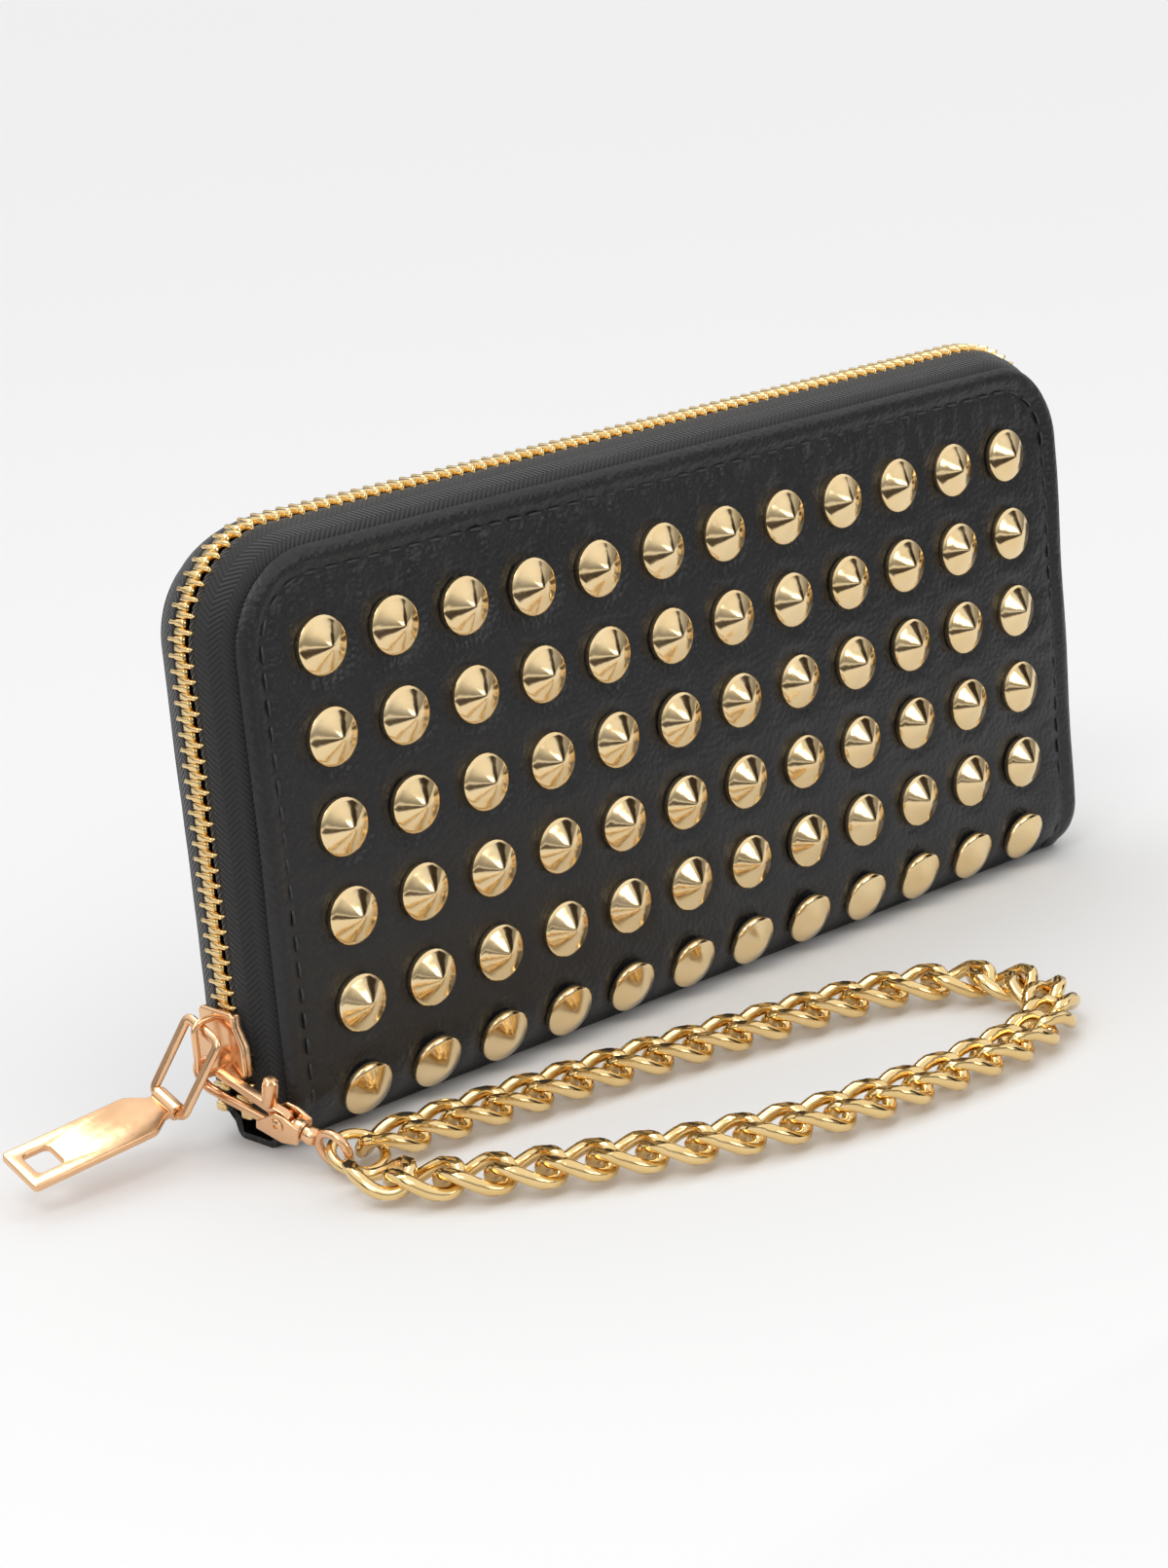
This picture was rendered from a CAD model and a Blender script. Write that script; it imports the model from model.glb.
"""Looks of a studded zip-around wallet with a wrist chain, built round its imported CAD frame."""

import math

import bmesh
import bpy
from bpy.props import FloatProperty, IntProperty, PointerProperty
from mathutils import Matrix, Vector, noise


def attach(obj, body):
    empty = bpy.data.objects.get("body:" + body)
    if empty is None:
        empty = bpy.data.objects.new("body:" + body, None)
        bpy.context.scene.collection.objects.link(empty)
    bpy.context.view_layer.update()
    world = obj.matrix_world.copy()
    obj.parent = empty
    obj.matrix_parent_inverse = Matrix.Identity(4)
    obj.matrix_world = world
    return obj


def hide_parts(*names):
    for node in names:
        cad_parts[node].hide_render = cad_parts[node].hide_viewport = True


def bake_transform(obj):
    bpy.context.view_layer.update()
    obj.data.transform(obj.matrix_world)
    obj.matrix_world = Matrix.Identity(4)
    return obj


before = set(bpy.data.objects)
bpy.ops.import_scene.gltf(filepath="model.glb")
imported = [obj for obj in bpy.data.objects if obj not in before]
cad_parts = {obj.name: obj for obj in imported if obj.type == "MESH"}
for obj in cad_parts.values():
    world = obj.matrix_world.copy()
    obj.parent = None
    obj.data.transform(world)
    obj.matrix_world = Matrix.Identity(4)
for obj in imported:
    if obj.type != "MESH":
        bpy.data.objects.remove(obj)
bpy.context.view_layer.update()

bl_info = {
    "name": "Studded zip wallet",
    "version": (1, 0, 0),
    "blender": (4, 5, 0),
    "location": "3D View > Sidebar > Wallet",
    "description": "Leather, zips, studs, clasp and chain of a zip-around wallet",
    "category": "Object",
}

MM = 0.001

# Sizes shared with the part's design, in millimetres
BODY_W = 190.0
BODY_H = 95.0
FOLD_R = 10.5
CORNER_R = 15.0
HALF_W = BODY_W / 2
FOLD_LEN = FOLD_R * math.pi / 2
SHEET_LEN = FOLD_LEN + BODY_H - FOLD_R
FOOT_HALF = 4.0
FOOT_END = math.radians(34)
STUD_PITCH = 14.5
STUD_COLUMNS = 12
STUD_ROWS = 6
SEAT_R = 4.9
FIRST_STUD_ROW = 12.74
ZIP_Z0 = 6.0
ZIP_OUT = 2.9
SIDE_LEN = BODY_H - CORNER_R - ZIP_Z0
CORNER_LEN = (CORNER_R + ZIP_OUT) * math.pi / 2
TOP_LEN = BODY_W - 2 * CORNER_R
ZIP_LEN = 2 * SIDE_LEN + 2 * CORNER_LEN + TOP_LEN
TOOTH_PITCH = 2.5
SPLIT_LEN = 12.5
SPLIT_HALF = 2.1
SLIDER_Z = 13.5
SLIDER_LEN = 10.5
COIN_ZIP_Z = 72.5
COIN_ZIP_START = -78.0
COIN_ZIP_LEN = 156.0
COIN_TOOTH_PITCH = 2.0
COIN_PIN = Matrix.Translation((70, 0, 75.7))

# Thickness of each sheet and half the length of a stitch, in millimetres
LEATHER_THICK = 1.1
TAPE_THICK = 0.5
GUSSET_THICK = 0.3
STITCH_HALF = 1.35

# Turns a solid of revolution's axis from Z to Y or X
Z_TO_Y = Matrix.Rotation(math.pi / 2, 4, "X")
Z_TO_X = Matrix.Rotation(math.pi / 2, 4, "Y")


class WalletSizes(bpy.types.PropertyGroup):
    """Sizes that only the looks depend on."""

    stud_height: FloatProperty(
        name="Stud height", description="Height of a stud's point over its seat",
        default=3.0 * MM, unit="LENGTH",
    )
    cover_crown: FloatProperty(
        name="Cover crown", description="How far the padded covers stand proud",
        default=1.2 * MM, unit="LENGTH",
    )
    stitch_pitch: FloatProperty(
        name="Stitch pitch", description="Distance from stitch to stitch", default=4.2 * MM, unit="LENGTH"
    )
    stitch_inset: FloatProperty(
        name="Stitch inset", description="Distance of the seam from the edge", default=4.3 * MM, unit="LENGTH"
    )
    wire: FloatProperty(
        name="Chain wire", description="Diameter of the chain's wire", default=2.3 * MM, unit="LENGTH"
    )
    link_rings: IntProperty(
        name="Link rings", description="Sections round each chain link", default=36, min=12
    )


def tone(name, description, value):
    """A colour property: an sRGB hex value that linear() turns to linear."""
    hint = description + ", as 0xRRGGBB"
    return IntProperty(name=name, description=hint, default=value, min=0, max=0xFFFFFF)


class WalletColours(bpy.types.PropertyGroup):
    """The tones that each finish varies between."""

    leather_dark: tone("Leather, dark", "Dyed leather in its creases", 0x111113)
    leather_light: tone("Leather, light", "Dyed leather between its creases", 0x1B1B1E)
    tape_dark: tone("Zip tape, dark", "Zip tape between its ribs", 0x0C0C0D)
    tape_light: tone("Zip tape, light", "Zip tape on its ribs", 0x1C1C1F)
    lining_dark: tone("Lining, dark", "Lining cloth in its hollows", 0x151516)
    lining_light: tone("Lining, light", "Lining cloth where it stands up", 0x26262A)
    gold_dark: tone("Gold, dark", "Yellow gold plating, rubbed patches", 0xE8C88E)
    gold_light: tone("Gold, light", "Yellow gold plating, bright patches", 0xF7E0B6)
    chain_dark: tone("Chain gold, dark", "Plating of chain and teeth, rubbed patches", 0xE3BE7C)
    chain_light: tone("Chain gold, light", "Plating of chain and teeth, bright patches", 0xF5DAA2)
    rose_dark: tone("Rose gold, dark", "Rose gold plating, rubbed patches", 0xE4B183)
    rose_light: tone("Rose gold, light", "Rose gold plating, bright patches", 0xF3CAA0)
    thread: tone("Thread", "Sewing thread", 0x2E2E31)
    board_dark: tone("Board, dark", "Stiffening board, dark flecks", 0x736C61)
    board_light: tone("Board, light", "Stiffening board, light flecks", 0x9C958A)
    floor: tone("Floor", "Studio floor", 0xF4F4F4)


def linear(colour):
    """A 0xRRGGBB value as a linear RGBA tuple."""
    channels = [((colour >> shift) & 255) / 255 for shift in (16, 8, 0)]
    return tuple(c / 12.92 if c < 0.04045 else ((c + 0.055) / 1.055) ** 2.4 for c in channels) + (1.0,)


# ---------------------------------------------------------------- materials


def add(tree, kind, links=None, **settings):
    """Adds a node, sets its attributes or input values by name, and links its inputs."""
    node = tree.nodes.new(kind)
    for name, value in settings.items():
        if hasattr(node, name):
            setattr(node, name, value)
        else:
            node.inputs[name.replace("_", " ")].default_value = value
    for name, source in (links or {}).items():
        tree.links.new(source, node.inputs[name])
    return node


def surface(name, **settings):
    """A material with one Principled shader whose sockets are set by name, its tree, and the shader."""
    material = bpy.data.materials.new(name)
    material.use_nodes = True
    shader = material.node_tree.nodes["Principled BSDF"]
    for key, value in settings.items():
        shader.inputs[key.replace("_", " ")].default_value = value
    return material, material.node_tree, shader


def feed(tree, shader, colour, bump, roughness=None):
    """Links the last nodes of a finish's colour, bump and roughness to its shader."""
    tree.links.new(colour.outputs[0], shader.inputs["Base Color"])
    tree.links.new(bump.outputs["Normal"], shader.inputs["Normal"])
    if roughness:
        tree.links.new(roughness.outputs[0], shader.inputs["Roughness"])


def leather_material(dark, light):
    """Drum-dyed leather with a fine pressed grain and a satin finish.

    The grain catches small highlights, broad creases break up the sheen, and the finish is a little
    duller where they stand up.
    """
    material, tree, shader = surface("drum_dyed_leather")
    place = add(tree, "ShaderNodeTexCoord").outputs["Object"]
    # creases 9 mm wide, pores 0.25 mm wide, and pebbles 1 mm wide, a little coarser than real ones to show
    crease = add(tree, "ShaderNodeTexNoise", {"Vector": place}, Scale=1 / (9 * MM), Detail=6.0, Roughness=0.6)
    grain = add(tree, "ShaderNodeTexVoronoi", {"Vector": place}, Scale=1 / (1.0 * MM), Randomness=1.0)
    pores = add(tree, "ShaderNodeTexNoise", {"Vector": place}, Scale=1 / (0.25 * MM), Detail=2.0)
    waves = crease.outputs["Fac"]
    dye = add(tree, "ShaderNodeMixRGB", {"Fac": waves}, Color1=linear(dark), Color2=linear(light))
    sheen = add(tree, "ShaderNodeMapRange", {"Value": waves}, To_Min=0.3, To_Max=0.46)
    bump = add(tree, "ShaderNodeBump", {"Height": waves}, Distance=0.3 * MM)
    for height, depth in ((grain.outputs["Distance"], -0.12), (pores.outputs["Fac"], 0.04)):
        below = bump.outputs["Normal"]
        bump = add(tree, "ShaderNodeBump", {"Height": height, "Normal": below}, Distance=depth * MM)
    feed(tree, shader, dye, bump, sheen)
    return material


def twill_tape_material(dark, light):
    """Woven polyester zip tape with a herringbone, read from the strip's own UV map in metres."""
    material, tree, shader = surface(
        "herringbone_zip_tape", Roughness=0.72, Sheen_Weight=0.25, Sheen_Roughness=0.4
    )
    uv = add(tree, "ShaderNodeSeparateXYZ", {0: add(tree, "ShaderNodeTexCoord").outputs["UV"]})
    # ribs 1 mm apart, drawn a little coarse so that they show, turning every 2 mm across the strip
    zigzag = add(tree, "ShaderNodeMath", {0: uv.outputs["Y"]}, operation="PINGPONG")
    zigzag.inputs[1].default_value = 2 * MM
    slant = add(tree, "ShaderNodeMath", {0: uv.outputs["X"], 1: zigzag.outputs[0]}, operation="ADD")
    turns = add(tree, "ShaderNodeMath", {0: slant.outputs[0]}, operation="MULTIPLY")
    turns.inputs[1].default_value = 2 * math.pi / (1.0 * MM)
    wave = add(tree, "ShaderNodeMath", {0: turns.outputs[0]}, operation="SINE")
    rib = add(tree, "ShaderNodeMapRange", {"Value": wave.outputs[0]}, From_Min=-1.0).outputs[0]
    yarn = add(tree, "ShaderNodeMixRGB", {"Fac": rib}, Color1=linear(dark), Color2=linear(light))
    feed(tree, shader, yarn, add(tree, "ShaderNodeBump", {"Height": rib}, Distance=0.15 * MM))
    return material


def lining_material(dark, light):
    """Plain-woven polyester lining with a slight sheen, and soft hollows 12 mm wide."""
    material, tree, shader = surface("woven_lining", Roughness=0.6, Sheen_Weight=0.3)
    place = add(tree, "ShaderNodeTexCoord").outputs["Object"]
    hollows = add(tree, "ShaderNodeTexNoise", {"Vector": place}, Scale=1 / (12 * MM), Detail=3.0)
    hollow = hollows.outputs["Fac"]
    # at scale 1 this pattern repeats every 314 mm, so threads are 1 mm apart, coarse so that they show
    thread = {"Scale": 1 / (3.14 * MM), "Distortion": 0.6}
    warp = add(tree, "ShaderNodeTexWave", {"Vector": place}, bands_direction="X", **thread).outputs["Fac"]
    weft = add(tree, "ShaderNodeTexWave", {"Vector": place}, bands_direction="Z", **thread).outputs["Fac"]
    bump = add(tree, "ShaderNodeBump", {"Height": warp}, Distance=0.06 * MM)
    for height, depth in ((weft, 0.06), (hollow, 0.4)):
        below = bump.outputs["Normal"]
        bump = add(tree, "ShaderNodeBump", {"Height": height, "Normal": below}, Distance=depth * MM)
    cloth = add(tree, "ShaderNodeMixRGB", {"Fac": hollow}, Color1=linear(dark), Color2=linear(light))
    feed(tree, shader, cloth, bump)
    return material


def plating_material(name, dark, light, roughness):
    """Electroplated and buffed metal: mirror-like, with faint buffing waves and rubbed patches."""
    material, tree, shader = surface(name, Metallic=1.0)
    place = add(tree, "ShaderNodeTexCoord").outputs["Object"]
    # buffing leaves ripples 3 mm wide and patches 5 mm wide
    ripple = add(tree, "ShaderNodeTexNoise", {"Vector": place}, Scale=1 / (3 * MM), Detail=2.0)
    patches = add(tree, "ShaderNodeTexNoise", {"Vector": place}, Scale=1 / (5 * MM), Detail=4.0)
    patch = patches.outputs["Fac"]
    shine = add(tree, "ShaderNodeMapRange", {"Value": patch}, To_Min=roughness * 0.7, To_Max=roughness * 1.5)
    metal = add(tree, "ShaderNodeMixRGB", {"Fac": patch}, Color1=linear(dark), Color2=linear(light))
    bump = add(tree, "ShaderNodeBump", {"Height": ripple.outputs["Fac"]}, Distance=0.05 * MM)
    feed(tree, shader, metal, bump, shine)
    return material


def thread_material(colour):
    """Waxed polyester sewing thread: nearly black, uneven every 0.4 mm where its plies twist."""
    material, tree, shader = surface("waxed_thread", Base_Color=linear(colour))
    place = add(tree, "ShaderNodeTexCoord").outputs["Object"]
    twists = add(tree, "ShaderNodeTexNoise", {"Vector": place}, Scale=1 / (0.4 * MM), Detail=2.0)
    twist = twists.outputs["Fac"]
    wax = add(tree, "ShaderNodeMapRange", {"Value": twist}, To_Min=0.3, To_Max=0.5)
    bump = add(tree, "ShaderNodeBump", {"Height": twist}, Distance=0.1 * MM)
    tree.links.new(wax.outputs[0], shader.inputs["Roughness"])
    tree.links.new(bump.outputs["Normal"], shader.inputs["Normal"])
    return material


def board_material(dark, light):
    """Pressed grey board, matt, with flecks 0.8 mm wide."""
    material, tree, shader = surface("pressed_board", Roughness=0.9)
    place = add(tree, "ShaderNodeTexCoord").outputs["Object"]
    flecks = add(tree, "ShaderNodeTexNoise", {"Vector": place}, Scale=1 / (0.8 * MM), Detail=5.0)
    fleck = flecks.outputs["Fac"]
    pulp = add(tree, "ShaderNodeMixRGB", {"Fac": fleck}, Color1=linear(dark), Color2=linear(light))
    feed(tree, shader, pulp, add(tree, "ShaderNodeBump", {"Height": fleck}, Distance=0.05 * MM))
    return material


FINISHES = {}


def finish(name):
    """The named finish, made once."""
    tones = bpy.context.scene.wallet_colours
    gold, chain = (tones.gold_dark, tones.gold_light), (tones.chain_dark, tones.chain_light)
    makers = {
        "leather": lambda: leather_material(tones.leather_dark, tones.leather_light),
        "tape": lambda: twill_tape_material(tones.tape_dark, tones.tape_light),
        "lining": lambda: lining_material(tones.lining_dark, tones.lining_light),
        "gold": lambda: plating_material("buffed_yellow_gold_plate", *gold, 0.12),
        "chain_gold": lambda: plating_material("buffed_chain_plate", *chain, 0.11),
        "rose": lambda: plating_material("buffed_rose_gold_plate", tones.rose_dark, tones.rose_light, 0.2),
        "thread": lambda: thread_material(tones.thread),
        "board": lambda: board_material(tones.board_dark, tones.board_light),
    }
    if name not in FINISHES:
        FINISHES[name] = makers[name]()
    return FINISHES[name]


# ---------------------------------------------------------------- mesh helpers


def piece(name, mesh, finish_name):
    """Turns a bmesh in millimetres into an object in metres, with a finish and a record slot."""
    bmesh.ops.recalc_face_normals(mesh, faces=mesh.faces)
    bmesh.ops.scale(mesh, vec=(MM, MM, MM), verts=mesh.verts)
    for face in mesh.faces:
        face.smooth = True
    data = bpy.data.meshes.new(name)
    mesh.to_mesh(data)
    mesh.free()
    data.materials.append(finish(finish_name))
    made = bpy.data.objects.new(name, data)
    bpy.context.scene.collection.objects.link(made)
    return made


def crisp(made, angle=32):
    """Keeps edges sharper than an angle sharp under smooth shading."""
    made.data.set_sharp_from_angle(angle=math.radians(angle))
    return made


def bevel(mesh, edges, width, segments=2):
    """Rounds edges by a width in millimetres."""
    bmesh.ops.bevel(
        mesh, geom=edges, offset=width, segments=segments, profile=0.5, affect="EDGES", material=-1,
        clamp_overlap=True,
    )


def sharp_edges(mesh, angle=30):
    """Edges whose faces meet at more than an angle."""
    limit = math.radians(angle)
    return [e for e in mesh.edges if len(e.link_faces) == 2 and e.calc_face_angle(0) > limit]


def lift(mesh, height):
    """Extrudes all of a flat bmesh upwards into a solid."""
    raised = bmesh.ops.extrude_face_region(mesh, geom=mesh.faces[:])["geom"]
    tops = [v for v in raised if isinstance(v, bmesh.types.BMVert)]
    bmesh.ops.translate(mesh, vec=(0, 0, height), verts=tops)
    bmesh.ops.recalc_face_normals(mesh, faces=mesh.faces)


def slab(mesh, outline, low, high, place=None, round_by=0.0, segments=2):
    """A prism from an outline in XY between two heights, with its edges rounded."""
    part = bmesh.new()
    part.faces.new([part.verts.new((x, y, low)) for x, y in outline])
    lift(part, high - low)
    if round_by:
        bevel(part, sharp_edges(part), round_by, segments)
    merge_into(mesh, part, place)


def merge_into(mesh, part, place=None):
    """Adds one bmesh to another, moved by a matrix, and frees it."""
    if place is not None:
        bmesh.ops.transform(part, matrix=place, verts=part.verts)
    data = bpy.data.meshes.new("part")
    part.to_mesh(data)
    part.free()
    mesh.from_mesh(data)
    bpy.data.meshes.remove(data)


def turned(mesh, profile, steps, place=None):
    """A solid of revolution about Z from (radius, height) points."""
    part = bmesh.new()
    verts = [part.verts.new((r, 0, z)) for r, z in profile]
    edges = [part.edges.new(pair) for pair in zip(verts, verts[1:])]
    bmesh.ops.spin(
        part, geom=verts + edges, cent=(0, 0, 0), axis=(0, 0, 1), angle=2 * math.pi, steps=steps,
        use_merge=True,
    )
    bmesh.ops.remove_doubles(part, verts=part.verts, dist=1e-4)
    bmesh.ops.recalc_face_normals(part, faces=part.faces)
    merge_into(mesh, part, place)


def wire(mesh, points, radius, sides=12, closed=True, squash=1.0, place=None, face=None):
    """Wire along points: a circle at each, and loops bridged from one to the next.

    squash widens the section along its second axis, which lies across face, the normal of a flat loop.
    """
    part = bmesh.new()
    count = len(points)
    rings = []
    for i, point in enumerate(points):
        ahead = points[(i + 1) % count] if closed or i < count - 1 else point
        behind = points[i - 1] if closed or i > 0 else point
        along = (Vector(ahead) - Vector(behind)).normalized()
        turn = along.to_track_quat("Z", "Y").to_matrix().to_4x4()
        if face:
            turn = Matrix((Vector(face), along.cross(Vector(face)), along)).transposed().to_4x4()
        size = radius[i] if isinstance(radius, (list, tuple)) else radius
        ring = bmesh.ops.create_circle(
            part, segments=sides, radius=size, cap_ends=False,
            matrix=Matrix.Translation(point) @ turn @ Matrix.Diagonal((1, squash, 1, 1)),
        )
        rings.append(list({e for v in ring["verts"] for e in v.link_edges}))
    for i in range(count if closed else count - 1):
        bmesh.ops.bridge_loops(part, edges=rings[i] + rings[(i + 1) % count])
    if not closed:
        bmesh.ops.holes_fill(part, edges=rings[0] + rings[-1], sides=sides)
    bmesh.ops.recalc_face_normals(part, faces=part.faces)
    merge_into(mesh, part, place)


def rounded_outline(half_x, half_y, radius, steps=4, centre=(0, 0)):
    """A rectangle's outline with round corners."""
    points = []
    for corner, (sx, sy) in enumerate(((1, 1), (-1, 1), (-1, -1), (1, -1))):
        for step in range(steps + 1):
            angle = math.radians(90 * corner + 90 * step / steps)
            x = sx * (half_x - radius) + radius * math.cos(angle)
            y = sy * (half_y - radius) + radius * math.sin(angle)
            points.append((centre[0] + x, centre[1] + y))
    return points


def circle(radius, steps, centre_x=0.0):
    """Points round a circle in XY."""
    angles = [2 * math.pi * n / steps for n in range(steps)]
    return [Vector((centre_x + radius * math.cos(a), radius * math.sin(a), 0)) for a in angles]


def ease(value, low, high):
    """0 below low, 1 above high, and a smooth step between them."""
    t = min(max((value - low) / (high - low), 0.0), 1.0)
    return t * t * (3 - 2 * t)


def hump(value, centre, width):
    """A smooth bell of height 1."""
    return math.exp(-(((value - centre) / width) ** 2))


# ---------------------------------------------------------------- covers


def edge_distance(x, s):
    """Distance in from the sides and the rounded top of a cover's sheet."""
    over_x = abs(x) - (HALF_W - CORNER_R)
    over_s = s - (SHEET_LEN - CORNER_R)
    if over_x > 0 and over_s > 0:
        return CORNER_R - math.hypot(over_x, over_s)
    return min(HALF_W - abs(x), SHEET_LEN - s)


def crown(x, s):
    """Smooth swell of the padded cover."""
    height = bpy.context.scene.wallet_sizes.cover_crown / MM
    across = max(0.0, 1 - (x / HALF_W) ** 2) ** 0.6
    up = max(0.0, math.sin(math.pi * ease(s, 8, SHEET_LEN))) ** 0.8
    return height * across * up


def stud_dimple(x, s):
    """The leather sinks under each stud and comes back up within a few millimetres of its rim."""
    column = x / STUD_PITCH - 0.5
    row = (s - FIRST_STUD_ROW) / STUD_PITCH
    nearest_column = min(max(round(column), -STUD_COLUMNS // 2), STUD_COLUMNS // 2 - 1)
    nearest_row = min(max(round(row), 0), STUD_ROWS - 1)
    away = math.hypot(column - nearest_column, row - nearest_row) * STUD_PITCH
    return -0.38 * (1 if away < SEAT_R else hump(away, SEAT_R, 1.5))


def creases(x, s, seed):
    """Fine creases that run in from the turned edge, and slow waves over the whole cover."""
    inside = edge_distance(x, s)
    near_edge = hump(inside, 8, 4.5)
    from_top = SHEET_LEN - s < HALF_W - abs(x)
    along = x if from_top else s
    fan = noise.noise(Vector((along * 0.36, inside * 0.09, seed)))
    pucker = noise.noise(Vector((along * 0.62, inside * 0.2, seed + 5)))
    slow = noise.noise(Vector((x * 0.035, s * 0.05, seed + 9)))
    return (0.42 * fan + 0.22 * pucker) * near_edge * (1.0 if from_top else 0.5) + 0.4 * slow


def turned_edge(inside):
    """The cover's rim: a rounded fold, a soft lip, and the channel that the seam pulls in."""
    roll = 0.9 * (1 - math.sqrt(max(0.0, 1 - max(0.0, 1 - inside / 0.9) ** 2)))
    return 0.35 * hump(inside, 2.0, 1.1) - 0.28 * hump(inside, 4.3, 0.75) - roll


def on_sheet(x, s, out, back=False):
    """A point of the folded cover, from its place on the flat sheet and its height over the surface."""
    radius = FOLD_R + out
    if s < FOLD_LEN:
        angle = s / FOLD_R
        y, z = -radius * math.sin(angle), FOLD_R - radius * math.cos(angle)
        if angle < FOOT_END:
            # the fold sits flat on the table over its middle 8 mm
            z = min(z, max(0.0, (-y - FOOT_HALF) * 0.96))
    else:
        y, z = -radius, FOLD_R + s - FOLD_LEN
    return Vector((x, -y if back else y, z))


def cover_skin(name, back):
    """One cover from the middle of the spine to its top edge, folded and turned at the rim."""
    mesh = bmesh.new()
    # about one face every 0.8 mm, fine enough for the folded rim
    bmesh.ops.create_grid(mesh, x_segments=236, y_segments=126, size=0.5)
    for vert in mesh.verts:
        x = vert.co.x * BODY_W
        s = (vert.co.y + 0.5) * SHEET_LEN
        # the square corners of the grid are drawn in to the round corners of the sheet
        a = (abs(x) - (HALF_W - CORNER_R)) / CORNER_R
        b = (s - (SHEET_LEN - CORNER_R)) / CORNER_R
        if a > 0 and b > 0:
            pull = max(a, b) / math.hypot(a, b)
            x = math.copysign(HALF_W - CORNER_R + CORNER_R * a * pull, x)
            s = SHEET_LEN - CORNER_R + CORNER_R * b * pull
        settled = ease(s, 1.0, 9.0)
        out = crown(x, s) + turned_edge(edge_distance(x, s))
        out += settled * creases(x, s, 3.0 if back else 0.0)
        if not back:
            out += stud_dimple(x, s)
        vert.co = on_sheet(x, s, max(out, -1.0), back)
    bmesh.ops.recalc_face_normals(mesh, faces=mesh.faces)
    outwards = Vector((0, 1 if back else -1, 0))
    if sum(f.normal.dot(outwards) for f in mesh.faces) < 0:
        bmesh.ops.reverse_faces(mesh, faces=mesh.faces)
    bmesh.ops.solidify(mesh, geom=mesh.faces[:], thickness=LEATHER_THICK)
    return crisp(piece(name, mesh, "leather"), 60)


def fold_with_leaf(made):
    """Bends a piece where the cover folds away from the spine."""
    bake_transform(made)


def seam(name, back):
    """Stitches along the seam, each a short rounded length of thread that dips at both ends."""
    sizes = bpy.context.scene.wallet_sizes
    inset, pitch = sizes.stitch_inset / MM, sizes.stitch_pitch / MM
    radius = CORNER_R - inset
    straight, bend = SHEET_LEN - CORNER_R, radius * math.pi / 2
    total = 2 * straight + 2 * bend + TOP_LEN

    def place(t):
        """The place on the flat sheet at a distance along the seam."""
        if t < straight:
            return -(HALF_W - inset), t
        if t < straight + bend:
            angle = (t - straight) / radius
            return -(HALF_W - CORNER_R) - radius * math.cos(angle), straight + radius * math.sin(angle)
        if t < straight + bend + TOP_LEN:
            return -(HALF_W - CORNER_R) + t - straight - bend, SHEET_LEN - inset
        if t < straight + 2 * bend + TOP_LEN:
            angle = (t - straight - bend - TOP_LEN) / radius
            return HALF_W - CORNER_R + radius * math.sin(angle), straight + radius * math.cos(angle)
        return HALF_W - inset, total - t

    mesh = bmesh.new()
    for n in range(int(total / pitch)):
        points = []
        for step, lift in ((-1.0, -0.45), (-0.85, -0.1), (0.0, 0.02), (0.85, -0.1), (1.0, -0.45)):
            x, s = place(min(max((n + 0.5) * pitch + step * STITCH_HALF, 0.0), total))
            points.append(on_sheet(x, s, crown(x, s) - 0.15 + lift, back))
        wire(mesh, points, [0.12, 0.26, 0.3, 0.26, 0.12], sides=6, closed=False)
    return piece(name, mesh, "thread")


class WALLET_OT_covers(bpy.types.Operator):
    """Make both leather covers, folded round the spine, and their seams"""

    bl_idname = "wallet.covers"
    bl_label = "Covers and seams"

    def execute(self, context):
        for side, nodes in (("front", ("front_cover", "spine")), ("back", ("back_cover",))):
            back = side == "back"
            skin = cover_skin(side + "_cover_skin", back)
            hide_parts(*nodes)
            fold_with_leaf(skin)
            fold_with_leaf(seam(side + "_seam", back))
        return {"FINISHED"}


# ---------------------------------------------------------------- studs


class WALLET_OT_studs(bpy.types.Operator):
    """Make the turned cone studs and seat each one on the leather"""

    bl_idname = "wallet.studs"
    bl_label = "Studs"

    def execute(self, context):
        top = context.scene.wallet_sizes.stud_height / MM
        profile = [
            (0.0, -0.3), (4.6, -0.3), (4.75, -0.1), (4.8, 0.2), (4.8, 0.5), (4.72, 0.8), (4.5, 1.04),
            (4.15, 1.2), (3.2, top - 1.3), (2.2, top - 0.78), (1.2, top - 0.33), (0.6, top - 0.11),
            (0.25, top - 0.02), (0.0, top),
        ]
        mesh = bmesh.new()
        for column in range(STUD_COLUMNS):
            for row in range(STUD_ROWS):
                x = (column - (STUD_COLUMNS - 1) / 2) * STUD_PITCH
                s = FIRST_STUD_ROW + row * STUD_PITCH
                seat = on_sheet(x, s, crown(x, s) - 0.15)
                across = on_sheet(x + 1, s, crown(x + 1, s)) - on_sheet(x - 1, s, crown(x - 1, s))
                upward = on_sheet(x, s + 1, crown(x, s + 1)) - on_sheet(x, s - 1, crown(x, s - 1))
                out = across.cross(upward).normalized()
                # hand setting leaves each stud leaning by up to about two degrees
                off = 2.2 * noise.noise(Vector((column * 1.7, row * 2.3, 4)))
                lean = Matrix.Rotation(math.radians(off), 4, "X")
                turn = out.to_track_quat("Z", "Y").to_matrix().to_4x4()
                turned(mesh, profile, 32, Matrix.Translation(seat) @ turn @ lean)
        studs = piece("cone_studs", mesh, "gold")
        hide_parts("studs")
        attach(crisp(studs, 26), "front_leaf")
        return {"FINISHED"}


# ---------------------------------------------------------------- zip


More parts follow.
